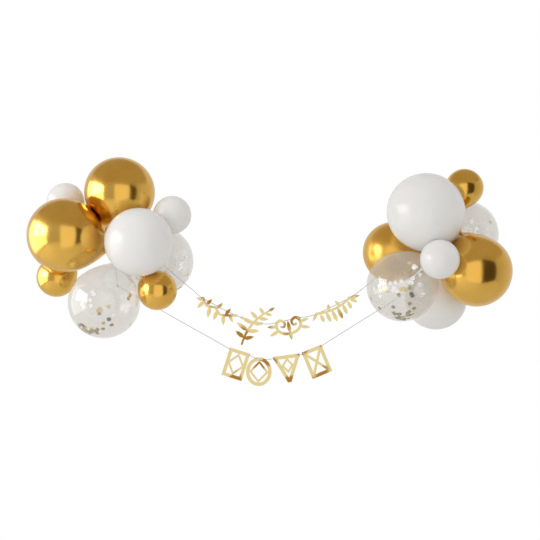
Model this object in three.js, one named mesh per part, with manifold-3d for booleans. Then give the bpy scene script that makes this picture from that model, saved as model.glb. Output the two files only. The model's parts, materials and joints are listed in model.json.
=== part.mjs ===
// A balloon garland for a wall: two clusters of latex balloons, and two strings of gold foil card
// ornaments slung between them. Millimetres, +Z up, +X to the right along the wall, and -Y out of
// the wall towards the room. The origin is the crown of the left hanging loop, where a wall hook
// holds it, 4 mm out from the wall.
import * as THREE from 'three';
import { mergeVertices } from 'three/addons/utils/BufferGeometryUtils.js';
import Module from 'manifold-3d';

const wasm = await Module();
wasm.setup();

// ---------------------------------------------------------------- driving dimensions
const HOOK_SPAN = 1060;          // from the left hanging loop to the right one
const STRING_D = 1.4;            // twisted paper string
const GAP = 0.3;                 // clearance between pieces that touch
const LOOP_R = 14;               // hanging loop, round the middle of its string
const KNOT_R = 5;                // knot that gathers the strings
const LOWER_KNOT_Z = { left: -234, right: -200 };    // where the lower string is tied on
const LOWER_KNOT_OUT = 6;

// A blown balloon: a ball at the crown, drawn out to a neck where it is tied off.
const NECK_START = 1.22;         // where the neck begins, in balloon radii from the centre
const LARGE = { neckR: 5.5, knotR: 8, lipR: 8.5, sides: 16, crownRows: 4, shoulderRows: 5 };
const SMALL = { neckR: 3.6, knotR: 5.5, lipR: 6, sides: 12, crownRows: 3, shoulderRows: 4 };
const LIP_T = 2;                 // rolled lip at the end of the tail
const LARGE_FROM_D = 160;        // a balloon this wide or more is a large one
const PRESS_REACH = 1.08;        // a press flattens skin this near the neighbour's centre, in its radii
const TIE_R = 7;                 // ball of thread wound round the tails where balloons are tied

const CARD_T = 0.4;              // foil-faced card
const CARD_OUT = 8;              // the cards hang this far in front of the origin
const HOLE_D = 5;                // punched holes, two to a card
const BAND = 12;                 // width of a band of the lower cards
const CARD_H = 97;               // height of the lower cards
const EYE_R = 5.5;               // card around a hole of the upper cards
const STROKE_STEPS = 2;          // sections between two points of a brush stroke

// ---------------------------------------------------------------- finishes
const FINISH = {
  white: { color: '#f3f2f0', roughness: 0.25, metalness: 0 },
  gold: { color: '#c08a25', roughness: 0.22, metalness: 0.9 },
  clear: { color: '#dedbd5', roughness: 0.1, metalness: 0 },
  foil: { color: '#d9b765', roughness: 0.18, metalness: 1 },
  string: { color: '#b9b3a4', roughness: 0.9, metalness: 0 },
};

function material(finish) {
  return new THREE.MeshStandardMaterial(FINISH[finish]);
}

function named(name, geometry, finish) {
  const mesh = new THREE.Mesh(geometry, material(finish));
  mesh.name = name;
  return mesh;
}

// ---------------------------------------------------------------- balloons
// Each balloon: diameter, centre from its own hook (right, out of the wall, up), and the tie that
// holds its tail. The centres are set so that neighbours press lightly on each other.
const LEFT = {
  hookX: 0,
  side: 'left',
  ties: {
    core: [-33, -136, -91],
    front: [50, -176, -59],
    low: [42, -203, -132],
    small_upper_left: [-79, -132, -38],
    small_lower_left: [-88, -138, -134],
    small_upper_right: [103, -188, -40],
    small_lower_right: [87, -229, -174],
  },
  balloons: [
    { name: 'gold_top', finish: 'gold', d: 226, at: [32, -186, 69], tie: 'core' },
    { name: 'gold_side', finish: 'gold', d: 236, at: [-132, -255, -71], tie: 'low' },
    { name: 'gold_small_lower_side', finish: 'gold', d: 129, at: [-178, -145, -203], tie: 'small_lower_left' },
    { name: 'gold_small_lower_inner', finish: 'gold', d: 124, at: [161, -268, -244], tie: 'small_lower_right' },
    { name: 'white_front', finish: 'white', d: 212, at: [110, -326, -94], tie: 'front' },
    { name: 'white_small_upper_side', finish: 'white', d: 123, at: [-153, -122, 43], tie: 'small_upper_left' },
    { name: 'white_small_upper_inner', finish: 'white', d: 121, at: [204, -222, -5], tie: 'small_upper_right' },
    { name: 'confetti_front', finish: 'clear', d: 226, at: [-7, -258, -282], tie: 'low' },
    { name: 'confetti_back', finish: 'clear', d: 229, at: [150, -121, -151], tie: 'core' },
  ],
};

const RIGHT = {
  hookX: HOOK_SPAN,
  side: 'right',
  ties: {
    high: [43, -250, -34],
    front: [-8, -316, -120],
    core: [-20, -222, -137],
  },
  balloons: [
    { name: 'gold_side', finish: 'gold', d: 221, at: [95, -311, -183], tie: 'high' },
    { name: 'gold_back', finish: 'gold', d: 199, at: [-143, -136, -123], tie: 'core' },
    { name: 'gold_small_upper_side', finish: 'gold', d: 120, at: [70, -240, 80], tie: 'high' },
    { name: 'white_top', finish: 'white', d: 241, at: [-63, -322, -1], tie: 'core' },
    { name: 'white_bottom', finish: 'white', d: 199, at: [-8, -157, -273], tie: 'core' },
    { name: 'white_small_front', finish: 'white', d: 119, at: [-34, -416, -148], tie: 'front' },
    { name: 'confetti_front', finish: 'clear', d: 219, at: [-136, -312, -230], tie: 'front' },
    { name: 'confetti_back', finish: 'clear', d: 220, at: [90, -126, -64], tie: 'core' },
  ],
};

// Half section of a balloon, as [radius, distance from the centre towards the neck].
function balloonSection(radius, tailEnd, size) {
  const section = [];
  for (let row = 0; row < size.crownRows; row += 1) {
    const turn = (row / size.crownRows) * (Math.PI / 2);
    section.push(new THREE.Vector2(radius * Math.sin(turn), -radius * Math.cos(turn)));
  }
  const shoulder = new THREE.CubicBezierCurve(
    new THREE.Vector2(radius, 0),
    new THREE.Vector2(radius, 0.6 * radius),
    new THREE.Vector2(0.42 * radius, 1.02 * radius),
    new THREE.Vector2(size.neckR, NECK_START * radius),
  );
  section.push(...shoulder.getPoints(size.shoulderRows));
  const knotAt = tailEnd - 1.6 * size.knotR;
  section.push(new THREE.Vector2(size.neckR, knotAt - 0.8 * size.knotR));
  section.push(new THREE.Vector2(size.knotR, knotAt));
  section.push(new THREE.Vector2(size.neckR, knotAt + 0.8 * size.knotR));
  section.push(new THREE.Vector2(size.lipR, tailEnd - LIP_T));
  section.push(new THREE.Vector2(0, tailEnd));
  return section;
}

// Where two balls press on each other they share a flat contact. A vertex that would lie inside
// the neighbour's ball moves back to this balloon's side of that flat. Tails stay straight.
function pressAgainst(geometry, centre, radius, otherCentre, otherRadius) {
  const towards = otherCentre.clone().sub(centre);
  const distance = towards.length();
  if (distance > PRESS_REACH * (radius + otherRadius)) return;
  towards.normalize();
  const flat = (distance ** 2 + radius ** 2 - otherRadius ** 2) / (2 * distance) - GAP / 2;
  const position = geometry.attributes.position;
  const vertex = new THREE.Vector3();
  for (let i = 0; i < position.count; i += 1) {
    vertex.fromBufferAttribute(position, i);
    if (vertex.length() > NECK_START * radius) continue;
    const beyond = vertex.dot(towards) - flat;
    const fromOther = vertex.clone().add(centre).distanceTo(otherCentre);
    if (beyond > 0 && fromOther < PRESS_REACH * otherRadius) {
      vertex.addScaledVector(towards, -beyond);
      position.setXYZ(i, vertex.x, vertex.y, vertex.z);
    }
  }
}

function makeBalloon(spec, cluster) {
  const radius = spec.d / 2;
  const size = spec.d >= LARGE_FROM_D ? LARGE : SMALL;
  const centre = new THREE.Vector3(...spec.at);
  const toTie = new THREE.Vector3(...cluster.ties[spec.tie]).sub(centre);
  const tailEnd = toTie.length() - TIE_R - GAP;
  const geometry = new THREE.LatheGeometry(balloonSection(radius, tailEnd, size), size.sides);
  const up = new THREE.Vector3(0, 1, 0);
  geometry.applyQuaternion(new THREE.Quaternion().setFromUnitVectors(up, toTie.normalize()));
  for (const other of cluster.balloons) {
    if (other !== spec) {
      pressAgainst(geometry, centre, radius, new THREE.Vector3(...other.at), other.d / 2);
    }
  }
  const balloon = named(`${cluster.side}_${spec.name}`, geometry, spec.finish);
  balloon.position.copy(centre);
  return balloon;
}

// ---------------------------------------------------------------- strings, loops and ties
// Each cluster's cord starts at the lower knot, climbs the wall past the hanging knot, and winds
// through the balloons from tie to tie. Points are taken from the cluster's own hook.
const CLUSTER_CORD = {
  left: [
    [0.6, -6, -228.7], [-3, -6, -205], [-6, -6, -160], [-8, -5, -110], [-9, -4, -65],
    [-8.5, -5, -44], [-9, -9, -35], [-13, -20, -33], [-24, -42, -36], [-48, -86, -39],
    [-67, -120, -42], [-74, -133, -47], [-79, -138, -62], [-84, -141, -90], [-85, -140, -112],
    [-80, -138, -126], [-72, -138, -124], [-60, -140, -114], [-46, -142, -104], [-34, -143, -99],
    [-22, -147, -92], [10, -160, -73], [34, -166, -60], [49, -168, -53], [66, -173, -49],
    [84, -181, -44], [94, -187, -46], [95, -190, -54], [88, -192, -68], [70, -196, -96],
    [56, -199, -117], [50, -201, -129], [55, -207, -139], [66, -216, -152], [81, -226, -168.5],
  ],
  right: [
    [0.6, -6, -194.7], [-3, -6, -172], [-6, -6, -130], [-8, -5, -90], [-9, -4, -60],
    [-8.5, -5, -44], [-9, -9, -36], [-15, -22, -33], [-25, -52, -36], [-32, -90, -42],
    [-34, -125, -54], [-32, -160, -72], [-28, -190, -95], [-24, -208, -116], [-20, -218, -127],
    [-13, -224, -126], [-4, -227, -114], [12, -235, -84], [26, -241, -56], [34, -243, -44],
    [36, -248, -42], [35, -256, -51], [32, -266, -65], [26, -277, -80], [15, -290, -96],
    [8, -300, -107], [-2.5, -310.5, -115.5],
  ],
};

// The upper string runs from hanging knot to hanging knot, the lower one from lower knot to lower
// knot. Each passes behind a card between its two holes, and in front from one card to the next.
const UPPER_STRING = [
  [4.4, -0.6, -37], [60, -3, -83], [120, -3, -134], [180, -3, -185], [229, -4, -227],
  [262, -7, -254], [280, -9.6, -270], [286, -9.6, -274.6], [289, -8, -276], [292, -6.4, -277.4],
  [326, -6.4, -296], [358, -6.4, -313], [397, -6.4, -331.6], [400, -8, -333], [403, -9.6, -334.4],
  [418, -9.6, -340], [421, -8, -341], [424, -6.4, -342], [453, -6.4, -352], [482, -6.4, -359],
  [485, -8, -360], [488, -9.6, -361], [511, -9.6, -362], [536, -9.6, -358], [539, -8, -357],
  [542, -6.4, -356.3], [606, -6.4, -341.7], [609, -8, -341], [612, -9.6, -340.3],
  [642, -9.6, -337], [670, -9.6, -329.4], [673, -8, -328], [676, -6.4, -326.6],
  [728, -6.4, -302], [780, -6.4, -275.4], [783, -8, -274], [786, -9.6, -272.6],
  [839, -6, -234], [950, -4, -138], [1055.6, -0.6, -37],
];
const LOWER_STRING = [
  [6.9, -6.2, -237], [80, -7, -278], [147, -7, -315], [212, -7, -352], [296, -8, -399],
  [350, -9, -429.5], [376, -9.6, -444.6], [381, -9.6, -447], [384, -8, -448], [387, -6.4, -449],
  [412, -6.4, -457], [438, -6.4, -465], [441, -8, -466], [444, -9.6, -467], [456, -9.6, -472.4],
  [469, -9.6, -478.2], [472, -8, -479], [475, -6.4, -479.3], [485, -6.4, -479.9],
  [488, -8, -480], [491, -9.6, -480.2], [510, -9.6, -480.8], [529, -9.6, -478.6],
  [532, -8, -478], [535, -6.4, -477.6], [570, -6.4, -473.4], [606, -6.4, -468.4],
  [609, -8, -468], [612, -9.6, -467.4], [626, -9.6, -463.4], [629, -8, -462],
  [632, -6.4, -460.8], [654, -6.4, -452], [676, -6.4, -442.2], [679, -8, -441],
  [682, -9.6, -439.4], [751, -8, -396], [873, -7, -320], [970, -7, -259], [1057.5, -6.2, -203],
];

// A string's sections stand at the points of its route, so it bends only there.
class Route extends THREE.Curve {
  constructor(points) {
    super();
    this.points = points.map((point) => new THREE.Vector3(...point));
  }

  getPoint(t, target = new THREE.Vector3()) {
    const along = t * (this.points.length - 1);
    const index = Math.min(Math.floor(along), this.points.length - 2);
    return target.copy(this.points[index]).lerp(this.points[index + 1], along - index);
  }

  getPointAt(u, target) {
    return this.getPoint(u, target);
  }

  getTangentAt(u, target = new THREE.Vector3()) {
    const last = this.points.length - 1;
    const index = Math.round(u * last);
    const before = this.points[Math.max(index - 1, 0)];
    const after = this.points[Math.min(index + 1, last)];
    return target.copy(after).sub(before).normalize();
  }
}

// A round outline of flat sides with its centre on the x axis.
function roundOutline(x, radius, sides) {
  const corner = (_, side) => {
    const turn = (side / sides) * 2 * Math.PI;
    return new THREE.Vector2(x + radius * Math.cos(turn), radius * Math.sin(turn));
  };
  return new THREE.Shape(Array.from({ length: sides }, corner));
}

function makeString(name, points) {
  const section = roundOutline(0, STRING_D / 2, 8);
  const extrudePath = new Route(points);
  const steps = points.length - 1;
  const geometry = new THREE.ExtrudeGeometry(section, { steps, extrudePath, bevelEnabled: false });
  return named(name, geometry, 'string');
}

// A ball of thread: the knot under a hanging loop, or the winding that ties balloons to the cord.
function makeThreadBall(name, at, radius) {
  const ball = named(name, new THREE.SphereGeometry(radius, 7, 4), 'string');
  ball.position.set(...at);
  return ball;
}

function makeHangingLoop(name) {
  const loop = named(name, new THREE.TorusGeometry(LOOP_R, STRING_D / 2, 5, 14), 'string');
  loop.rotation.x = Math.PI / 2;
  loop.position.z = -LOOP_R;
  return loop;
}

// ---------------------------------------------------------------- card ornaments
// Every card is drawn with its left hole at 0, 0 and its right hole on the x axis.
function toSolid(geometry) {
  geometry.deleteAttribute('normal');
  geometry.deleteAttribute('uv');
  const merged = mergeVertices(geometry);
  return new wasm.Manifold(new wasm.Mesh({
    numProp: 3,
    vertProperties: merged.attributes.position.array,
    triVerts: new Uint32Array(merged.index.array),
  }));
}

function toGeometry(solid) {
  const mesh = solid.getMesh();
  const geometry = new THREE.BufferGeometry();
  geometry.setAttribute('position', new THREE.BufferAttribute(mesh.vertProperties, 3));
  geometry.setIndex(new THREE.BufferAttribute(mesh.triVerts, 1));
  return geometry;
}

function cutFromCard(shape) {
  const options = { depth: CARD_T, bevelEnabled: false, curveSegments: 14 };
  return toSolid(new THREE.ExtrudeGeometry(shape, options));
}

// A brush stroke: points of [x, y, width], with round ends.
function stroke(points) {
  const middle = new THREE.CatmullRomCurve3(points.map(([x, y]) => new THREE.Vector3(x, y, 0)));
  const sections = (points.length - 1) * STROKE_STEPS;
  const left = [];
  const right = [];
  for (let i = 0; i <= sections; i += 1) {
    const along = i / sections;
    const at = middle.getPoint(along);
    const way = middle.getTangent(along);
    const index = Math.min(Math.floor(i / STROKE_STEPS), points.length - 2);
    const part = i / STROKE_STEPS - index;
    const half = THREE.MathUtils.lerp(points[index][2], points[index + 1][2], part) / 2;
    left.push(new THREE.Vector2(at.x - half * way.y, at.y + half * way.x));
    right.push(new THREE.Vector2(at.x + half * way.y, at.y - half * way.x));
  }
  const roundEnd = (from, to) => {
    const centre = from.clone().add(to).divideScalar(2);
    return [0.33, 0.67].map((part) => from.clone().rotateAround(centre, -part * Math.PI));
  };
  const outline = [
    ...left,
    ...roundEnd(left.at(-1), right.at(-1)),
    ...right.reverse(),
    ...roundEnd(right.at(-1), left[0]),
  ];
  return new THREE.Shape(outline);
}

// A straight band with square ends.
function band([x0, y0], [x1, y1], width) {
  const from = new THREE.Vector2(x0, y0);
  const to = new THREE.Vector2(x1, y1);
  const side = to.clone().sub(from).normalize().rotateAround(new THREE.Vector2(), Math.PI / 2);
  side.multiplyScalar(width / 2);
  const corners = [from.clone().add(side), from.clone().sub(side), to.clone().sub(side), to.clone().add(side)];
  return new THREE.Shape(corners);
}

// An upright diamond outline. The inner diamond is set in so that its bands are width wide.
function diamond(x, y, halfWide, halfHigh, width) {
  const slope = Math.hypot(halfWide, halfHigh);
  const outline = (a, b) => [[x + a, y], [x, y + b], [x - a, y], [x, y - b]]
    .map(([px, py]) => new THREE.Vector2(px, py));
  const shape = new THREE.Shape(outline(halfWide, halfHigh));
  const inner = outline(halfWide - (width * slope) / halfHigh, halfHigh - (width * slope) / halfWide);
  shape.holes.push(new THREE.Path(inner));
  return shape;
}

function ring(x, y, halfWide, halfHigh, width) {
  const shape = new THREE.Shape();
  shape.absellipse(x, y, halfWide, halfHigh, 0, 2 * Math.PI);
  const inside = new THREE.Path();
  inside.absellipse(x, y, halfWide - width, halfHigh - width, 0, 2 * Math.PI);
  shape.holes.push(inside);
  return shape;
}

// A pointed leaf growing from x, y.
function leaf(x, y, degrees, length, width) {
  const turn = THREE.MathUtils.degToRad(degrees);
  const side = [[0, 0.25], [0.3, 0.95], [0.65, 0.8], [1, 0]];
  const outline = [...side, ...side.slice(0, -1).reverse().map(([along, out]) => [along, -out])];
  const origin = new THREE.Vector2();
  const at = new THREE.Vector2(x, y);
  const place = ([along, out]) => new THREE.Vector2(along * length, (out * width) / 2)
    .rotateAround(origin, turn).add(at);
  return new THREE.Shape(outline.map(place).reverse());
}

// Upper row: leafy sprigs, taller and lower in turn.
function waveSprig(span) {
  return [
    stroke([[0, 0, 9], [24, -17, 8], [50, -8, 8], [76, -22, 8], [102, -12, 8], [span, 0, 9]]),
    leaf(4, -4, 190, 26, 12), leaf(8, -6, 252, 34, 14), leaf(34, -14, 285, 38, 15),
    leaf(62, -14, 275, 36, 15), leaf(86, -18, 298, 36, 14), leaf(106, -10, 322, 26, 12),
    leaf(20, -14, 72, 28, 13), leaf(56, -10, 68, 30, 13), leaf(92, -14, 75, 28, 13),
  ];
}

function leafSprig(span) {
  return [
    stroke([[24, -86, 6], [27, -50, 8], [40, -8, 9], [62, 28, 7], [84, 52, 4]]),
    leaf(25, -62, 158, 38, 15), leaf(31, -36, 160, 48, 16), leaf(39, -8, 168, 42, 15),
    leaf(50, 12, 150, 34, 14), leaf(66, 34, 142, 26, 12),
    leaf(26, -66, 28, 36, 14), leaf(31, -38, 18, 40, 15), leaf(42, -6, 8, 30, 14),
    leaf(54, 14, 10, 34, 13), leaf(70, 36, 0, 26, 11), leaf(80, 47, 48, 24, 11),
  ];
}

function curlSprig(span) {
  const middle = span / 2;
  const volute = [[0, -46, 9], [20, -43, 10], [39, -28, 10], [40, -6, 11], [26, 4, 10], [12, -6, 9],
    [16, -20, 8], [26, -18, 7]];
  const leaves = [[0, -45, 90, 46, 14], [0, -42, 270, 26, 13]];
  const sideLeaves = [[38, -30, -18, 34, 13], [41, -14, 10, 32, 12]];
  return [
    stroke(volute.map(([x, y, width]) => [middle + x, y, width])),
    stroke(volute.map(([x, y, width]) => [middle - x, y, width])),
    ...leaves.map(([x, y, ...rest]) => leaf(middle + x, y, ...rest)),
    ...sideLeaves.map(([x, y, turn, ...rest]) => leaf(middle + x, y, turn, ...rest)),
    ...sideLeaves.map(([x, y, turn, ...rest]) => leaf(middle - x, y, 180 - turn, ...rest)),
  ];
}

function dropSprig(span) {
  const drops = [28, 38, 45, 45, 38, 28].map((length, index) => {
    const x = (span * (index + 0.5)) / 6;
    return leaf(x, -7 - length, 90, length + 1, 14);
  });
  return [
    stroke([[0, 0, 9], [span / 4, -8, 8], [span / 2, -11, 8], [(3 * span) / 4, -8, 8], [span, 0, 9]]),
    ...drops,
    leaf(0, 0, 215, 28, 12), leaf(span, 0, -12, 36, 13), leaf(span, -2, -52, 30, 13),
    leaf(span / 3, -9, 70, 24, 12), leaf((2 * span) / 3, -9, 110, 24, 12),
  ];
}

// Lower row: fretwork of straight bands. A frame is given by the middle lines of its bands.
function frame(right) {
  const foot = BAND - CARD_H;
  const edge = BAND / 2;
  return [
    band([-edge, 0], [right + edge, 0], BAND),
    band([-edge, foot], [right + edge, foot], BAND),
    band([0, 0], [0, foot], BAND),
    band([right, 0], [right, foot], BAND),
  ];
}

function diamondFret(span) {
  return [...frame(span), diamond(span / 2, (BAND - CARD_H) / 2, span / 2, 38, 7)];
}

function ringFret(span) {
  const halfHigh = CARD_H / 2;
  const centre = BAND / 2 - 1 - halfHigh;
  return [
    ring(span / 2, centre, 43.5, halfHigh, BAND),
    diamond(span / 2, centre, 33, 38, 7),
  ];
}

function pennantFret(span) {
  const point = [span / 2, BAND - CARD_H];
  return [
    band([-BAND / 2, 0], [span + BAND / 2, 0], BAND),
    band([0, 0], point, BAND),
    band([span, 0], point, BAND),
    diamond(span / 2, -29, 21, 27, 7),
  ];
}

function boxFret(span) {
  const right = span + BAND / 2;
  const foot = BAND - CARD_H;
  return [...frame(right), band([0, 0], [right, foot], 9), band([0, foot], [right, 0], 9)];
}

// The cards, with the places of their left and right holes on the string.
const CARDS = [
  { name: 'upper_card_wave', draw: waveSprig, holes: [[289, -276], [400, -333]] },
  { name: 'upper_card_leaf', draw: leafSprig, holes: [[421, -341], [485, -360]] },
  { name: 'upper_card_curl', draw: curlSprig, holes: [[539, -357], [609, -341]] },
  { name: 'upper_card_drops', draw: dropSprig, holes: [[673, -328], [783, -274]] },
  { name: 'lower_card_diamond', draw: diamondFret, holes: [[384, -448], [441, -466]] },
  { name: 'lower_card_ring', draw: ringFret, holes: [[472, -479], [488, -480]] },
  { name: 'lower_card_pennant', draw: pennantFret, holes: [[532, -478], [609, -468]] },
  { name: 'lower_card_box', draw: boxFret, holes: [[629, -462], [679, -441]] },
];

function makeCard({ name, draw, holes }) {
  const [first, second] = holes.map(([x, z]) => new THREE.Vector2(x, z));
  const across = second.clone().sub(first);
  const span = across.length();
  // each hole gets a round rim of card
  const shapes = [...draw(span), roundOutline(0, EYE_R, 10), roundOutline(span, EYE_R, 10)];
  let card = shapes.map(cutFromCard).reduce((joined, next) => joined.add(next));
  for (const x of [0, span]) {
    const punch = new THREE.CylinderGeometry(HOLE_D / 2, HOLE_D / 2, 4 * CARD_T, 7);
    punch.rotateX(Math.PI / 2);
    punch.translate(x, 0, CARD_T / 2);
    card = card.subtract(toSolid(punch));
  }
  const geometry = toGeometry(card);
  geometry.rotateZ(across.angle());
  const mesh = named(name, geometry, 'foil');
  mesh.rotation.x = Math.PI / 2;
  mesh.position.set(first.x, CARD_T / 2 - CARD_OUT, first.y);
  return mesh;
}

// ---------------------------------------------------------------- assembly
function makeCluster(cluster) {
  const hung = new THREE.Group();
  const { side } = cluster;
  for (const spec of cluster.balloons) hung.add(makeBalloon(spec, cluster));
  for (const [tie, at] of Object.entries(cluster.ties)) {
    hung.add(makeThreadBall(`${side}_tie_${tie}`, at, TIE_R));
  }
  const knotZ = -2 * LOOP_R - STRING_D / 2 - GAP - KNOT_R;
  hung.add(makeHangingLoop(`${side}_hanging_loop`));
  hung.add(makeThreadBall(`${side}_hanging_knot`, [0, 0, knotZ], KNOT_R));
  hung.add(makeThreadBall(`${side}_lower_knot`, [2, -LOWER_KNOT_OUT, LOWER_KNOT_Z[side]], KNOT_R));
  hung.add(makeString(`${side}_cluster_cord`, CLUSTER_CORD[side]));
  hung.position.x = cluster.hookX;
  return hung;
}

const garland = new THREE.Group();
garland.add(makeCluster(LEFT));
garland.add(makeCluster(RIGHT));
garland.add(makeString('upper_string', UPPER_STRING));
garland.add(makeString('lower_string', LOWER_STRING));
for (const card of CARDS) garland.add(makeCard(card));

export default garland;
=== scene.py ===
"""A balloon garland: two clusters of latex balloons and two strings of gold foil cards between them.

The CAD frame gives every piece its place. Here each balloon gets its blown skin, the clear ones
their confetti, the strings their twist, the ties their winding and the cards their foil.
Metres, +Z up, -Y out of the wall. The origin is the crown of the left hanging loop.
"""
import json
import math
import random

import bpy
import numpy as np
from mathutils import Matrix, Vector
from mathutils.geometry import interpolate_bezier

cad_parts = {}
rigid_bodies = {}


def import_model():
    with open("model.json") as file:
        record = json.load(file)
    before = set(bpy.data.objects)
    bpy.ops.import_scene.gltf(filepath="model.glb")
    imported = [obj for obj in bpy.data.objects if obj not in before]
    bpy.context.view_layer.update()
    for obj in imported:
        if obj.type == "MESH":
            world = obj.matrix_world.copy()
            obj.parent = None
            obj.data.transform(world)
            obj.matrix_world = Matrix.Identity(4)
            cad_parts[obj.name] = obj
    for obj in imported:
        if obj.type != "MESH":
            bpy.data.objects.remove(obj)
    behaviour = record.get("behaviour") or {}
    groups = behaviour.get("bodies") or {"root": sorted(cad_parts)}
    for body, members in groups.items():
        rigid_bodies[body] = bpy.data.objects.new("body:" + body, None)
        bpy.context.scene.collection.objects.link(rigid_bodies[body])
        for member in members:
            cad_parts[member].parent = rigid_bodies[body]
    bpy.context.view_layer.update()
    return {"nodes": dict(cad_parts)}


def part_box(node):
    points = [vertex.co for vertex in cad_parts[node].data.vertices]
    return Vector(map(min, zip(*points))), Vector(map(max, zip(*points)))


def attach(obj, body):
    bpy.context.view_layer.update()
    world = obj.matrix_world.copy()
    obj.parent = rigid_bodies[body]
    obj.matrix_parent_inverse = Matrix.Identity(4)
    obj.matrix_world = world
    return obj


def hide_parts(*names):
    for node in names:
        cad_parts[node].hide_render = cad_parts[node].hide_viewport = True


MM = 0.001

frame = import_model()

# ---------------------------------------------------------------- sizes
STRING_D = 1.4 * MM
TIE_LEAN = 62                # degrees that the windings of a tie lean from level
WINDINGS = 11                # turns of thread in a tie
TWIST_PITCH = 7 * MM         # one full turn of the two plies
PLY_DEPTH = 0.12             # how far the groove between the plies cuts in, in radii
STRING_STEP = 1.2 * MM       # between two sections of a string

NECK_START = 1.22            # where a balloon's neck begins, in radii from its centre
LARGE_FROM_D = 160 * MM      # a balloon this wide or more is a large one
LARGE = {"neck": 5.5 * MM, "knot": 8 * MM, "lip": 8.5 * MM, "turns": 96}
SMALL = {"neck": 3.6 * MM, "knot": 5.5 * MM, "lip": 6 * MM, "turns": 64}
CROWN_ROWS = 26
SHOULDER_ROWS = 22
TIE_R = 7 * MM
GAP = 0.3 * MM
PRESS_REACH = 1.08           # a press flattens skin this near the neighbour's centre, in its radii
PRESS_ROUND = 1.2 * MM       # how softly the skin turns into a flat contact

DISC_R = 6.4 * MM            # punched paper and foil confetti
DISC_T = 0.12 * MM
DISC_SIDES = 14
DISC_CLEAR = 0.5 * MM        # between a disc and the skin it clings to
NECK_CLEAR = 35              # degrees round the neck that hold no disc
DISH = 0.15 * MM             # how far the middle of a disc stands out from its rim


# ---------------------------------------------------------------- making meshes
def deselect_all():
    for shown in bpy.context.view_layer.objects:
        shown.select_set(False)


def make_active(piece):
    deselect_all()
    piece.select_set(True)
    bpy.context.view_layer.objects.active = piece


def mesh_piece(name, vertices, faces):
    mesh = bpy.data.meshes.new(name)
    mesh.from_pydata([tuple(v) for v in vertices], [], faces)
    mesh.update()
    piece = bpy.data.objects.new(name, mesh)
    bpy.context.scene.collection.objects.link(piece)
    return piece


def smooth(piece, degrees=None):
    make_active(piece)
    if degrees is None:
        bpy.ops.object.shade_smooth()
    else:
        bpy.ops.object.shade_smooth_by_angle(angle=math.radians(degrees))


def dress(piece, material, slot, *nodes):
    """Gives a piece its finish, hangs it on the garland and puts it in place of its CAD nodes."""
    piece.data.materials.append(material)
    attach(piece, "root")
    if nodes:
        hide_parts(*nodes)


# ---------------------------------------------------------------- materials
def linear(colour):
    """A linear RGBA from an sRGB hex colour."""
    shades = [int(colour[i:i + 2], 16) / 255 for i in (1, 3, 5)]
    straight = [s / 12.92 if s <= 0.04045 else ((s + 0.055) / 1.055) ** 2.4 for s in shades]
    return (*straight, 1.0)


def node(tree, kind, inputs=None, **settings):
    """Adds a shader node. An input is a plain value, or the output socket that feeds it."""
    added = tree.nodes.new("ShaderNode" + kind)
    for setting, value in settings.items():
        setattr(added, setting, value)
    for socket, value in (inputs or {}).items():
        if isinstance(value, bpy.types.NodeSocket):
            tree.links.new(value, added.inputs[socket])
        else:
            added.inputs[socket].default_value = value
    return added


def new_material(name):
    material = bpy.data.materials.new(name)
    material.use_nodes = True
    material.node_tree.nodes.clear()
    return material, material.node_tree


def finish_with(tree, shader):
    node(tree, "OutputMaterial", {"Surface": shader.outputs[0]})


def cloud(tree, grain, detail=2.0, distortion=0.0):
    """Noise on the piece's own coordinates, with blotches about grain metres across."""
    place = node(tree, "TexCoord")
    inputs = {"Vector": place.outputs["Object"], "Scale": 1 / grain, "Detail": detail}
    return node(tree, "TexNoise", {**inputs, "Distortion": distortion}).outputs["Fac"]


def between(tree, factor, low, high):
    """A number that runs from low to high as factor runs over the middle of its range."""
    inputs = {"Value": factor, "From Min": 0.3, "From Max": 0.7, "To Min": low, "To Max": high}
    return node(tree, "MapRange", inputs).outputs["Result"]


def shade_between(tree, factor, low, high, start=0.3, end=0.7):
    """A colour that turns from low to high as factor goes from start to end."""
    ramp = node(tree, "ValToRGB", {"Fac": factor})
    ramp.color_ramp.elements[0].position = start
    ramp.color_ramp.elements[1].position = end
    ramp.color_ramp.elements[0].color = linear(low)
    ramp.color_ramp.elements[1].color = linear(high)
    return ramp.outputs["Color"]


def chrome_gold_latex(name, roughness):
    """Latex with a metallised skin: a soft gold mirror under a clear face."""
    material, tree = new_material(name)
    blotches = cloud(tree, 70 * MM)
    skin = cloud(tree, 2.5 * MM, detail=1.0)
    bump = node(tree, "Bump", {"Strength": 0.06, "Distance": 0.2 * MM, "Height": skin})
    finish_with(tree, node(tree, "BsdfPrincipled", {
        "Base Color": shade_between(tree, blotches, "#E7B652", "#EDC05C"),
        "Metallic": 1.0,
        "Roughness": between(tree, blotches, roughness - 0.02, roughness + 0.03),
        "Coat Weight": 0.25,
        "Coat Roughness": 0.14,
        "Coat IOR": 1.52,
        "Normal": bump.outputs["Normal"],
    }))
    return material


def white_latex():
    """Opaque white latex: glossy, with a little light sinking into the skin."""
    material, tree = new_material("white_latex")
    blotches = cloud(tree, 60 * MM)
    skin = cloud(tree, 2 * MM, detail=1.0)
    bump = node(tree, "Bump", {"Strength": 0.05, "Distance": 0.2 * MM, "Height": skin})
    finish_with(tree, node(tree, "BsdfPrincipled", {
        "Base Color": shade_between(tree, blotches, "#F1F0EE", "#F5F4F3"),
        "Roughness": between(tree, blotches, 0.2, 0.26),
        "IOR": 1.52,
        "Specular IOR Level": 0.16,
        "Coat Weight": 0.16,
        "Coat Roughness": 0.05,
        "Coat IOR": 1.52,
        "Subsurface Weight": 0.15,
        "Subsurface Radius": (0.012, 0.011, 0.01),
        "Subsurface Scale": 1.0,
        "Normal": bump.outputs["Normal"],
    }))
    return material


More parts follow.
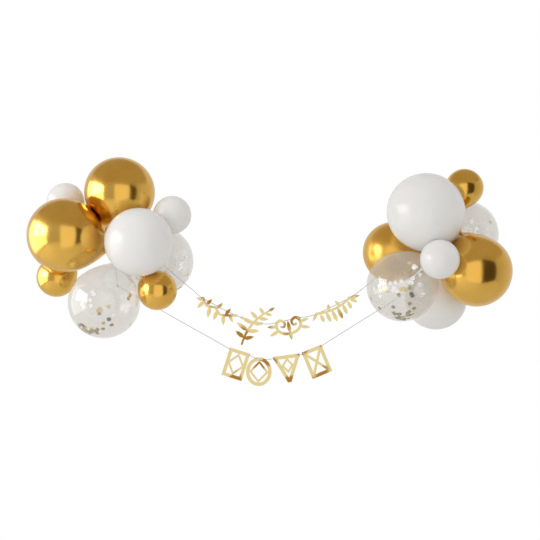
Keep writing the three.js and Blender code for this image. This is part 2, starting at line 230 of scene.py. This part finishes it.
def clear_latex():
    """Undyed latex blown thin: a glossy film with a milky veil."""
    material, tree = new_material("clear_latex")
    veil = cloud(tree, 50 * MM, detail=3.0)
    finish_with(tree, node(tree, "BsdfPrincipled", {
        "Base Color": shade_between(tree, veil, "#D0CBC1", "#DCD8D0"),
        "Alpha": 0.4,
        "Roughness": 0.12,
        "IOR": 1.52,
        "Specular IOR Level": 1.0,
        "Coat Weight": 1.0,
        "Coat Roughness": 0.04,
        "Coat IOR": 1.7,
    }))
    return material


def gold_foil_card():
    """Card faced with pale gold mirror foil. Painted reflections: dark amber blotches are painted into the
    base colour where the card would mirror the dark of the room.
    """
    material, tree = new_material("gold_foil_card")
    painted_reflection_blotches = cloud(tree, 65 * MM, detail=0.0)
    # painted reflection: noise blotches turn the foil's colour from pale gold to dark amber
    shade = shade_between(tree, painted_reflection_blotches, "#A67C32", "#DDD09C", start=0.36, end=0.46)
    finish_with(tree, node(tree, "BsdfPrincipled", {
        "Base Color": shade,
        "Metallic": 1.0,
        "Roughness": between(tree, cloud(tree, 8 * MM), 0.08, 0.12),
    }))
    return material


def confetti_foil(name, colour):
    """Thin gold foil punched into discs. Painted reflections: each colour is the same gold foil, painted
    as it looks when it mirrors a lighter or darker part of the room.
    """
    material, tree = new_material(name)
    finish_with(tree, node(tree, "BsdfPrincipled", {
        "Base Color": linear(colour),
        "Metallic": 0.85,
        "Roughness": between(tree, cloud(tree, 4 * MM), 0.25, 0.35),
    }))
    return material


def confetti_paper():
    """Uncoated white tissue card."""
    material, tree = new_material("confetti_paper")
    finish_with(tree, node(tree, "BsdfPrincipled", {
        "Base Color": shade_between(tree, cloud(tree, 3 * MM), "#F4F3F1", "#FBFBFA"),
        "Roughness": 0.8,
        # painted glow: a small emission brightens the tissue discs, standing in for light that comes
        # through them
        "Emission Color": linear("#FFFEFC"),
        "Emission Strength": 0.22,
    }))
    return material


def twisted_paper_string():
    """Two plies of undyed paper yarn: dull, grey-brown and a little fuzzy."""
    material, tree = new_material("twisted_paper_string")
    fibre = cloud(tree, 0.6 * MM, detail=3.0)
    finish_with(tree, node(tree, "BsdfPrincipled", {
        "Base Color": shade_between(tree, fibre, "#5A5342", "#78705B"),
        "Roughness": 0.9,
        "Sheen Weight": 0.2,
    }))
    return material


# ---------------------------------------------------------------- camera
def make_camera():
    """Stands 3.8 m out from the wall, level, in line with the middle of the garland."""
    camera = bpy.data.objects.new("camera", bpy.data.cameras.new("camera"))
    camera.data.lens = 75
    camera.data.sensor_width = 36
    camera.location = (0.515, -3.8, -0.18)
    camera.rotation_euler = (math.radians(90), 0, 0)
    bpy.context.scene.collection.objects.link(camera)
    bpy.context.scene.camera = camera


# ---------------------------------------------------------------- strings
# The routes of the garland's own cords, in millimetres. The cluster cords are taken from their hook.
CLUSTER_CORD = {
    "left": [
        (0.6, -6, -228.7), (-3, -6, -205), (-6, -6, -160), (-8, -5, -110), (-9, -4, -65),
        (-8.5, -5, -44), (-9, -9, -35), (-13, -20, -33), (-24, -42, -36), (-48, -86, -39),
        (-67, -120, -42), (-74, -133, -47), (-79, -138, -62), (-84, -141, -90), (-85, -140, -112),
        (-80, -138, -126), (-72, -138, -124), (-60, -140, -114), (-46, -142, -104), (-34, -143, -99),
        (-22, -147, -92), (10, -160, -73), (34, -166, -60), (49, -168, -53), (66, -173, -49),
        (84, -181, -44), (94, -187, -46), (95, -190, -54), (88, -192, -68), (70, -196, -96),
        (56, -199, -117), (50, -201, -129), (55, -207, -139), (66, -216, -152), (81, -226, -168.5),
    ],
    "right": [
        (0.6, -6, -194.7), (-3, -6, -172), (-6, -6, -130), (-8, -5, -90), (-9, -4, -60),
        (-8.5, -5, -44), (-9, -9, -36), (-15, -22, -33), (-25, -52, -36), (-32, -90, -42),
        (-34, -125, -54), (-32, -160, -72), (-28, -190, -95), (-24, -208, -116), (-20, -218, -127),
        (-13, -224, -126), (-4, -227, -114), (12, -235, -84), (26, -241, -56), (34, -243, -44),
        (36, -248, -42), (35, -256, -51), (32, -266, -65), (26, -277, -80), (15, -290, -96),
        (8, -300, -107), (-2.5, -310.5, -115.5),
    ],
}
UPPER_STRING = [
    (4.4, -0.6, -37), (60, -3, -83), (120, -3, -134), (180, -3, -185), (229, -4, -227),
    (262, -7, -254), (280, -9.6, -270), (286, -9.6, -274.6), (289, -8, -276), (292, -6.4, -277.4),
    (326, -6.4, -296), (358, -6.4, -313), (397, -6.4, -331.6), (400, -8, -333), (403, -9.6, -334.4),
    (418, -9.6, -340), (421, -8, -341), (424, -6.4, -342), (453, -6.4, -352), (482, -6.4, -359),
    (485, -8, -360), (488, -9.6, -361), (511, -9.6, -362), (536, -9.6, -358), (539, -8, -357),
    (542, -6.4, -356.3), (606, -6.4, -341.7), (609, -8, -341), (612, -9.6, -340.3),
    (642, -9.6, -337), (670, -9.6, -329.4), (673, -8, -328), (676, -6.4, -326.6),
    (728, -6.4, -302), (780, -6.4, -275.4), (783, -8, -274), (786, -9.6, -272.6),
    (839, -6, -234), (950, -4, -138), (1055.6, -0.6, -37),
]
LOWER_STRING = [
    (6.9, -6.2, -237), (80, -7, -278), (147, -7, -315), (212, -7, -352), (296, -8, -399),
    (350, -9, -429.5), (376, -9.6, -444.6), (381, -9.6, -447), (384, -8, -448), (387, -6.4, -449),
    (412, -6.4, -457), (438, -6.4, -465), (441, -8, -466), (444, -9.6, -467), (456, -9.6, -472.4),
    (469, -9.6, -478.2), (472, -8, -479), (475, -6.4, -479.3), (485, -6.4, -479.9),
    (488, -8, -480), (491, -9.6, -480.2), (510, -9.6, -480.8), (529, -9.6, -478.6),
    (532, -8, -478), (535, -6.4, -477.6), (570, -6.4, -473.4), (606, -6.4, -468.4),
    (609, -8, -468), (612, -9.6, -467.4), (626, -9.6, -463.4), (629, -8, -462),
    (632, -6.4, -460.8), (654, -6.4, -452), (676, -6.4, -442.2), (679, -8, -441),
    (682, -9.6, -439.4), (751, -8, -396), (873, -7, -320), (970, -7, -259), (1057.5, -6.2, -203),
]
HOOK_X = {"left": 0.0, "right": 1060.0}


def mix(start, end, start_time, end_time, time):
    return (start * (end_time - time) + end * (time - start_time)) / (end_time - start_time)


def bend_through(points):
    """A smooth line through the points of a route, as closely spaced as a string's sections.

    It is a Catmull-Rom curve timed by the square root of each span, so it makes no loops.
    """
    first = 2 * points[0] - points[1]
    last = 2 * points[-1] - points[-2]
    stops = [first, *points, last]
    line = []
    for p0, p1, p2, p3 in zip(stops, stops[1:], stops[2:], stops[3:]):
        t0 = 0.0
        t1 = t0 + math.sqrt(np.linalg.norm(p1 - p0))
        t2 = t1 + math.sqrt(np.linalg.norm(p2 - p1))
        t3 = t2 + math.sqrt(np.linalg.norm(p3 - p2))
        steps = max(2, round(float(np.linalg.norm(p2 - p1)) / STRING_STEP))
        for t in np.linspace(t1, t2, steps, endpoint=False):
            a1, a2, a3 = mix(p0, p1, t0, t1, t), mix(p1, p2, t1, t2, t), mix(p2, p3, t2, t3, t)
            line.append(mix(mix(a1, a2, t0, t2, t), mix(a2, a3, t1, t3, t), t1, t2, t))
    line.append(points[-1])
    return np.array(line)


def twisted_tube(name, line, closed=False, radius=STRING_D / 2, sides=8):
    """Two plies wound round each other along a line: a lobed section that turns as it goes."""
    count = len(line)
    ahead = np.roll(line, -1, axis=0) - np.roll(line, 1, axis=0)
    if not closed:
        ahead[0] = line[1] - line[0]
        ahead[-1] = line[-1] - line[-2]
    ahead /= np.linalg.norm(ahead, axis=1)[:, None]
    side = np.cross(ahead[0], (0.3, 0.2, 1.0))
    vertices = []
    gone = 0.0
    for i in range(count):
        if i:
            gone += float(np.linalg.norm(line[i] - line[i - 1]))
        side = side - ahead[i] * side.dot(ahead[i])
        side /= np.linalg.norm(side)
        up = np.cross(ahead[i], side)
        for k in range(sides):
            turn = 2 * math.pi * k / sides
            lobe = 1 + PLY_DEPTH * math.cos(2 * (turn - 2 * math.pi * gone / TWIST_PITCH))
            out = math.cos(turn) * side + math.sin(turn) * up
            vertices.append(line[i] + radius * lobe * out)
    rings = count if closed else count - 1
    faces = []
    for i in range(rings):
        here, there = i * sides, ((i + 1) % count) * sides
        for k in range(sides):
            after = (k + 1) % sides
            faces.append((here + k, here + after, there + after, there + k))
    if not closed:
        faces.append(tuple(reversed(range(sides))))
        faces.append(tuple(range((count - 1) * sides, count * sides)))
    tube = mesh_piece(name, vertices, faces)
    smooth(tube, 60)
    return tube


def make_cord(name, node_name, points, hook_x, string):
    route = [np.array((x + hook_x, y, z)) * MM for x, y, z in points]
    line = bend_through(route)
    cord = twisted_tube(name, line)
    dress(cord, string, "twisted_string", node_name)


def make_cords(string):
    for side, route in CLUSTER_CORD.items():
        make_cord(f"{side}_cord", f"{side}_cluster_cord", route, HOOK_X[side], string)
    for row, route in (("upper", UPPER_STRING), ("lower", LOWER_STRING)):
        make_cord(f"{row}_cord", f"{row}_string", route, 0.0, string)


def middle_of(node_name):
    low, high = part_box(node_name)
    return (low + high) / 2


def width_of(node_name):
    low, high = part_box(node_name)
    return high.x - low.x


def closed_line(where, turns):
    """Points of a closed curve, given as a function of a full turn."""
    return np.array([where(2 * math.pi * i / turns) for i in range(turns)])


def make_hanging_loop(side, string):
    loop_node = f"{side}_hanging_loop"
    centre = middle_of(loop_node)
    radius = (width_of(loop_node) - STRING_D) / 2

    def where(turn):
        return (centre.x + radius * math.cos(turn), centre.y, centre.z + radius * math.sin(turn))

    loop = twisted_tube(f"{side}_loop", closed_line(where, 96), closed=True)
    dress(loop, string, "twisted_string", loop_node)


def make_overhand_knot(name, node_name, string):
    """A pulled-up overhand knot: the string runs three times round in a trefoil."""
    centre = middle_of(node_name)
    size = (width_of(node_name) / 2 - STRING_D * 0.56) / 3

    def where(turn):
        across = math.sin(turn) + 2 * math.sin(2 * turn)
        up = math.cos(turn) - 2 * math.cos(2 * turn)
        out = -1.4 * math.sin(3 * turn)
        return (centre.x + size * across, centre.y + size * out, centre.z + size * up)

    knot = twisted_tube(name, closed_line(where, 72), closed=True)
    dress(knot, string, "twisted_string", node_name)


def make_wound_tie(name, node_name, string):
    """Thread wound round and round the tails of the balloons, each turn a little askew."""
    centre = middle_of(node_name)
    radius = width_of(node_name) / 2 - STRING_D * 0.56

    def where(turn):
        lean = Matrix.Rotation(3 * turn, 3, "Z") @ Matrix.Rotation(math.radians(TIE_LEAN), 3, "X")
        sway = 0.05 * math.sin(5 * turn)
        at = Vector((math.cos(WINDINGS * turn), math.sin(WINDINGS * turn), 0))
        return centre + (lean @ at) * radius * (0.93 + sway)

    tie = twisted_tube(name, closed_line(where, 330), closed=True, sides=6)
    dress(tie, string, "twisted_string", node_name)


# ---------------------------------------------------------------- balloons
# Which tie holds each balloon's tail. A balloon's finish is the first word of its name.
TIED_AT = {
    "left": {
        "gold_top": "core", "gold_side": "low", "gold_small_lower_side": "small_lower_left",
        "gold_small_lower_inner": "small_lower_right", "white_front": "front",
        "white_small_upper_side": "small_upper_left", "white_small_upper_inner": "small_upper_right",
        "confetti_front": "low", "confetti_back": "core",
    },
    "right": {
        "gold_side": "high", "gold_back": "core", "gold_small_upper_side": "high",
        "white_top": "core", "white_bottom": "core", "white_small_front": "front",
        "confetti_front": "front", "confetti_back": "core",
    },
}


class Balloon:
    """A balloon's ball and tail, measured on its CAD solid."""

    def __init__(self, side, name, tie):
        self.side = side
        self.name = name
        self.node = f"{side}_{name}"
        tie_at = middle_of(f"{side}_tie_{tie}")
        corners = [v.co.copy() for v in frame["nodes"][self.node].data.vertices]
        crown = max(corners, key=lambda corner: (corner - tie_at).length)
        self.axis = (tie_at - crown).normalized()
        self.radius = max((c - crown - self.axis * (c - crown).dot(self.axis)).length
                          for c in corners)
        self.centre = crown + self.axis * self.radius
        self.tail_end = (tie_at - self.centre).length - TIE_R - GAP
        self.size = LARGE if 2 * self.radius >= LARGE_FROM_D else SMALL


def half_section(balloon):
    """From the crown to the end of the tail, as (distance from the axis, distance from the centre)."""
    radius, end = balloon.radius, balloon.tail_end
    neck, knot, lip = balloon.size["neck"], balloon.size["knot"], balloon.size["lip"]
    points = []
    for row in range(CROWN_ROWS):
        turn = math.pi / 2 * row / CROWN_ROWS
        points.append((radius * math.sin(turn), -radius * math.cos(turn)))
    shoulder = interpolate_bezier(
        (radius, 0), (radius, 0.6 * radius), (0.42 * radius, 1.02 * radius),
        (neck, NECK_START * radius), SHOULDER_ROWS)
    points += [(p[0], p[1]) for p in shoulder]
    # the knot is a ring of folded latex, and the rolled lip flares out behind it
    knot_at = end - 1.6 * knot
    for row in range(9):
        turn = math.pi * row / 8
        points.append((neck + (knot - neck) * math.sin(turn), knot_at - 0.8 * knot * math.cos(turn)))
    for row in range(1, 7):
        turn = math.pi * row / 6
        roll = 1 * MM
        points.append((lip - roll + roll * math.sin(turn), end - 2 * roll - roll * math.cos(turn)))
    points.append((neck, end - 1.4 * MM))
    points.append((0, end - 1.4 * MM))
    return points


def spin_half_section(name, points, turns):
    """Draws the half section point by point from a single corner, then spins it."""
    bpy.ops.mesh.primitive_plane_add(size=1 * MM, location=(0, 0, 0))
    piece = bpy.context.active_object
    piece.name = name
    make_active(piece)
    bpy.ops.object.mode_set(mode="EDIT")
    bpy.ops.mesh.select_all(action="SELECT")
    bpy.ops.mesh.merge(type="CENTER")
    bpy.ops.transform.translate(value=(points[0][0], 0, points[0][1]))
    for (x0, z0), (x1, z1) in zip(points, points[1:]):
        bpy.ops.mesh.extrude_region_move(TRANSFORM_OT_translate={"value": (x1 - x0, 0, z1 - z0)})
    bpy.ops.mesh.select_all(action="SELECT")
    bpy.ops.mesh.spin(steps=turns, angle=2 * math.pi, center=(0, 0, 0), axis=(0, 0, 1))
    bpy.ops.mesh.select_all(action="SELECT")
    bpy.ops.mesh.remove_doubles(threshold=0.01 * MM)
    bpy.ops.mesh.normals_make_consistent(inside=False)
    bpy.ops.object.mode_set(mode="OBJECT")
    return piece


def contact_flat(balloon, other):
    """The direction of a neighbour and how far off its flat contact lies, or None if out of reach."""
    towards = other.centre - balloon.centre
    distance = towards.length
    if distance > PRESS_REACH * (balloon.radius + other.radius):
        return None
    flat = (distance ** 2 + balloon.radius ** 2 - other.radius ** 2) / (2 * distance)
    return towards.normalized(), flat - GAP / 2


def press(piece, balloon, neighbours):
    """Flattens the skin where a neighbour pushes on it, with a soft turn into the flat."""
    mesh = piece.data
    points = np.empty(len(mesh.vertices) * 3)
    mesh.vertices.foreach_get("co", points)
    points = points.reshape(-1, 3)
    centre = np.array(balloon.centre)
    on_ball = np.linalg.norm(points - centre, axis=1) < NECK_START * balloon.radius
    for other in neighbours:
        contact = contact_flat(balloon, other)
        if contact is None:
            continue
        towards, flat = np.array(contact[0]), contact[1]
        beyond = (points - centre) @ towards - flat
        from_other = np.linalg.norm(points - np.array(other.centre), axis=1) / other.radius
        grip = np.clip((PRESS_REACH - from_other) / (PRESS_REACH - 1), 0, 1) * on_ball
        shift = PRESS_ROUND * np.logaddexp(0, beyond / PRESS_ROUND)
        points -= (grip * shift)[:, None] * towards
    mesh.vertices.foreach_set("co", points.ravel())
    mesh.update()


def make_balloon(balloon, neighbours, finishes):
    piece = spin_half_section(f"{balloon.node}_skin", half_section(balloon), balloon.size["turns"])
    turned = Vector((0, 0, 1)).rotation_difference(balloon.axis).to_matrix().to_4x4()
    piece.data.transform(Matrix.Translation(balloon.centre) @ turned)
    press(piece, balloon, neighbours)
    smooth(piece)
    kind = balloon.name.split("_")[0]
    material, slot = finishes.get(balloon.node, finishes[kind])
    dress(piece, material, slot, balloon.node)
    # a film this thin takes next to no light from what is inside
    piece.visible_shadow = slot != "clear_latex"


# ---------------------------------------------------------------- confetti
# Drifts of discs that cling to the skin: (turn, lift, spread, how many of each kind). Degrees from the
# balloon's centre: turn 0 faces the room and grows to the right, lift grows upwards.
DRIFTS = {
    "left_confetti_front": [
        (-15, 5, 11, {"paper": 8}),
        (10, -10, 6, {"pale": 4}),
        (50, 10, 5, {"pale": 2}),
        (20, -25, 4, {"dark": 2}),
        (0, -40, 12, {"olive": 3, "bronze": 1}),
        (-40, -50, 12, {"olive": 18, "pale": 6, "dark": 4}),
    ],
    "right_confetti_front": [
        (25, 30, 11, {"paper": 9, "pale": 3}),
        (5, 10, 8, {"paper": 5}),
        (-30, -5, 13, {"paper": 10, "pale": 2}),
        (-5, -5, 5, {"pale": 4}),
        (10, -15, 3, {"dark": 2}),
        (10, -30, 6, {"bronze": 2}),
        (0, -45, 20, {"olive": 3}),
        (-5, -60, 13, {"olive": 16, "pale": 5, "dark": 4}),
    ],
    "left_confetti_back": [
        (35, -5, 14, {"paper": 9}),
        (60, -60, 15, {"olive": 6, "paper": 4, "pale": 4}),
    ],
    "right_confetti_back": [
        (20, 10, 12, {"paper": 11}),
        (-15, -5, 6, {"paper": 2, "pale": 1}),
        (40, -65, 15, {"olive": 6, "paper": 4, "pale": 4}),
    ],
}
STRAYS = 10                  # discs that cling anywhere on the far side
# painted reflections: four colours of one gold foil, each painted as it mirrors a lighter or darker part
# of the room
FOILS = {"pale": "#EFE0A6", "olive": "#A8975C", "dark": "#3A3220", "bronze": "#B08958"}


def heading(turn, lift):
    turn, lift = math.radians(turn), math.radians(lift)
    return Vector((math.sin(turn) * math.cos(lift), -math.cos(turn) * math.cos(lift), math.sin(lift)))


def scatter(balloon):
    """Every disc in a balloon, as (direction from the centre, paper or foil)."""
    chance = random.Random(balloon.node)
    placed = []
    for turn, lift, spread, counts in DRIFTS[balloon.node]:
        for kind, count in counts.items():
            for _ in range(count):
                away = heading(chance.gauss(turn, spread), chance.gauss(lift, 0.6 * spread))
                placed.append((away, kind))
    for _ in range(STRAYS):
        kind = chance.choices(("paper", "pale", "olive"), weights=(6, 3, 1))[0]
        placed.append((heading(chance.uniform(110, 250), chance.uniform(-55, 45)), kind))
    return placed


def one_disc():
    """The corners and faces of one punched disc at the origin, dished a little to cling to the skin."""
    deselect_all()
    bpy.ops.mesh.primitive_cylinder_add(vertices=DISC_SIDES, radius=DISC_R, depth=DISC_T)
    disc = bpy.context.active_object
    bpy.ops.object.mode_set(mode="EDIT")
    bpy.ops.mesh.select_all(action="DESELECT")
    bpy.ops.object.mode_set(mode="OBJECT")
    for face in disc.data.polygons:
        face.select = abs(face.normal.z) > 0.5
    bpy.ops.object.mode_set(mode="EDIT")
    bpy.ops.mesh.inset(thickness=DISC_R / 2)
    bpy.ops.transform.translate(value=(0, 0, DISH))
    bpy.ops.object.mode_set(mode="OBJECT")
    corners = [v.co.copy() for v in disc.data.vertices]
    faces = [tuple(face.vertices) for face in disc.data.polygons]
    bpy.data.objects.remove(disc)
    return corners, faces


def make_confetti(balloon, neighbours, materials):
    chance = random.Random(balloon.node + " tilt")
    corners, faces = one_disc()
    kinds = list(materials)
    vertices, all_faces, paints = [], [], []
    contacts = [c for c in (contact_flat(balloon, other) for other in neighbours) if c]
    for away, kind in scatter(balloon):
        depth = balloon.radius - DISC_CLEAR - chance.uniform(0, 6) * DISC_T
        pressed = any(away.dot(towards) * depth > flat - DISC_R for towards, flat in contacts)
        in_neck = away.angle(balloon.axis) < math.radians(NECK_CLEAR)
        if pressed or in_neck:
            continue
        turned = Vector((0, 0, 1)).rotation_difference(away)
        place = Matrix.Translation(balloon.centre + away * depth) @ turned.to_matrix().to_4x4()
        first = len(vertices)
        vertices += [place @ corner for corner in corners]
        all_faces += [tuple(first + corner for corner in face) for face in faces]
        paints += [kinds.index(kind)] * len(faces)
    piece = mesh_piece(f"{balloon.node}_discs", vertices, all_faces)
    for material in materials.values():
        piece.data.materials.append(material)
    piece.data.polygons.foreach_set("material_index", paints)
    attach(piece, "root")


# ---------------------------------------------------------------- cards
CARD_NODES = [
    "upper_card_wave", "upper_card_leaf", "upper_card_curl", "upper_card_drops",
    "lower_card_diamond", "lower_card_ring", "lower_card_pennant", "lower_card_box",
]


def finish_cards(foil):
    for name in CARD_NODES:
        card = frame["nodes"][name]
        card.data.materials.clear()
        card.data.materials.append(foil)


# ---------------------------------------------------------------- studio
def glow(name, colour, strength, stripes=None):
    material, tree = new_material(name)
    shade = linear(colour)
    if stripes:
        place = node(tree, "TexCoord")
        wave = node(tree, "TexWave", {"Vector": place.outputs["Object"], "Scale": stripes,
                                      "Distortion": 0.6, "Detail": 2.0, "Detail Scale": 0.6})
        shade = shade_between(tree, wave.outputs["Color"], "#8C8378", colour)
    finish_with(tree, node(tree, "Emission", {"Color": shade, "Strength": strength}))
    return material


def studio_panel(name, low, high, material):
    """A flat panel between two corners that share one coordinate. Only reflections see it."""
    low, high = Vector(low), Vector(high)
    flat = min(range(3), key=lambda axis: abs(high[axis] - low[axis]))
    first, second = [axis for axis in range(3) if axis != flat]
    corners = []
    for a, b in ((0, 0), (1, 0), (1, 1), (0, 1)):
        corner = low.copy()
        corner[first] = high[first] if a else low[first]
        corner[second] = high[second] if b else low[second]
        corners.append(corner)
    panel = mesh_piece(name, corners, [(0, 1, 2, 3)])
    panel.data.materials.append(material)
    panel.visible_camera = False
    panel.visible_diffuse = False
    panel.visible_transmission = False
    panel.visible_shadow = False
    return panel


def make_studio():
    """A white room with a window wall at the left, a lit doorway, dark furniture and a boarded ceiling."""
    window = glow("studio_window", "#FFFFFF", 7.0)
    curtain = glow("studio_curtain", "#FFFDF8", 2.6)
    for row, (low, high) in enumerate(((-0.1, 0.42), (0.48, 1.05))):
        for column, (near, far) in enumerate(((-2.4, -1.3), (-1.24, -0.15))):
            studio_panel(f"studio_pane_{row}{column}", (-2.4, near, low), (-2.4, far, high), window)
    studio_panel("studio_curtain", (-2.42, -2.5, -1.3), (-2.42, 1.0, 1.05), curtain)
    studio_panel("studio_doorway", (-0.2, -1.75, -1.3), (1.3, -1.75, 0.7),
                 glow("studio_doorway", "#FFF8EE", 1.05))
    studio_panel("studio_cupboard", (1.4, -1.75, -1.3), (3.2, -1.75, 0.9),
                 glow("studio_cupboard", "#6B5A45", 0.5))
    studio_panel("studio_ceiling", (-2.4, -3.0, 1.7), (4.2, 1.4, 1.7),
                 glow("studio_ceiling", "#D9C9B2", 0.95, stripes=1.6))

    bpy.ops.mesh.primitive_plane_add(size=1, location=(0.5, -1.3, -1.3))
    floor = bpy.context.active_object
    floor.name = "studio_floor"
    floor.data.transform(Matrix.Diagonal((5.0, 3.6, 1, 1)))
    material, tree = new_material("studio_floor")
    finish_with(tree, node(tree, "BsdfPrincipled", {"Base Color": linear("#EFEEEC"), "Roughness": 0.6}))
    floor.data.materials.append(material)

    soft = bpy.data.objects.new("window_light", bpy.data.lights.new("window_light", "AREA"))
    soft.data.shape = "RECTANGLE"
    soft.data.size = 2.4
    soft.data.size_y = 1.6
    soft.data.energy = 26
    soft.location = (-2.1, -2.0, 0.6)
    aim = Vector((0.5, 0, -0.15)) - soft.location
    soft.rotation_euler = aim.to_track_quat("-Z", "Y").to_euler()
    soft.visible_glossy = False
    soft.visible_camera = False
    bpy.context.scene.collection.objects.link(soft)

    world = bpy.data.worlds.new("studio")
    bpy.context.scene.world = world
    world.use_nodes = True
    tree = world.node_tree
    tree.nodes.clear()
    ray = node(tree, "LightPath")
    way = node(tree, "SeparateXYZ", {"Vector": node(tree, "TexCoord").outputs["Generated"]})
    depth = node(tree, "MapRange", {"Value": way.outputs["Y"], "From Min": -0.6, "From Max": 0.6,
                                    "To Min": 0.5, "To Max": 0.72})
    mirrored = node(tree, "Background", {"Color": linear("#FFFBF6"), "Strength": depth.outputs["Result"]})
    even = node(tree, "Background", {"Color": linear("#FFFEFC"), "Strength": 0.72})
    seen = node(tree, "Background", {"Color": (1, 1, 1, 1), "Strength": 1.0})
    lit = node(tree, "MixShader", {0: ray.outputs["Is Diffuse Ray"], 1: mirrored.outputs[0],
                                   2: even.outputs[0]})
    whole = node(tree, "MixShader", {0: ray.outputs["Is Camera Ray"], 1: lit.outputs[0],
                                     2: seen.outputs[0]})
    node(tree, "OutputWorld", {"Surface": whole.outputs[0]})
    bpy.context.scene.view_settings.view_transform = "Standard"


# ---------------------------------------------------------------- the garland
make_camera()
string = twisted_paper_string()
make_cords(string)

for side, tied in TIED_AT.items():
    make_hanging_loop(side, string)
    make_overhand_knot(f"{side}_upper_knot", f"{side}_hanging_knot", string)
    make_overhand_knot(f"{side}_bottom_knot", f"{side}_lower_knot", string)
    for tie in sorted(set(tied.values())):
        make_wound_tie(f"{side}_tie_{tie}_winding", f"{side}_tie_{tie}", string)

finishes = {
    "gold": (chrome_gold_latex("chrome_gold_latex", 0.2), "chrome_gold_latex"),
    "right_gold_back": (chrome_gold_latex("chrome_gold_latex_soft", 0.3), "chrome_gold_latex"),
    "white": (white_latex(), "white_latex"),
    "confetti": (clear_latex(), "clear_latex"),
}
discs = {"paper": confetti_paper()}
for kind, colour in FOILS.items():
    discs[kind] = confetti_foil(f"confetti_{kind}", colour)

for side, tied in TIED_AT.items():
    cluster = [Balloon(side, name, tie) for name, tie in tied.items()]
    for balloon in cluster:
        neighbours = [other for other in cluster if other is not balloon]
        make_balloon(balloon, neighbours, finishes)
        if balloon.name.startswith("confetti"):
            make_confetti(balloon, neighbours, discs)

finish_cards(gold_foil_card())
make_studio()
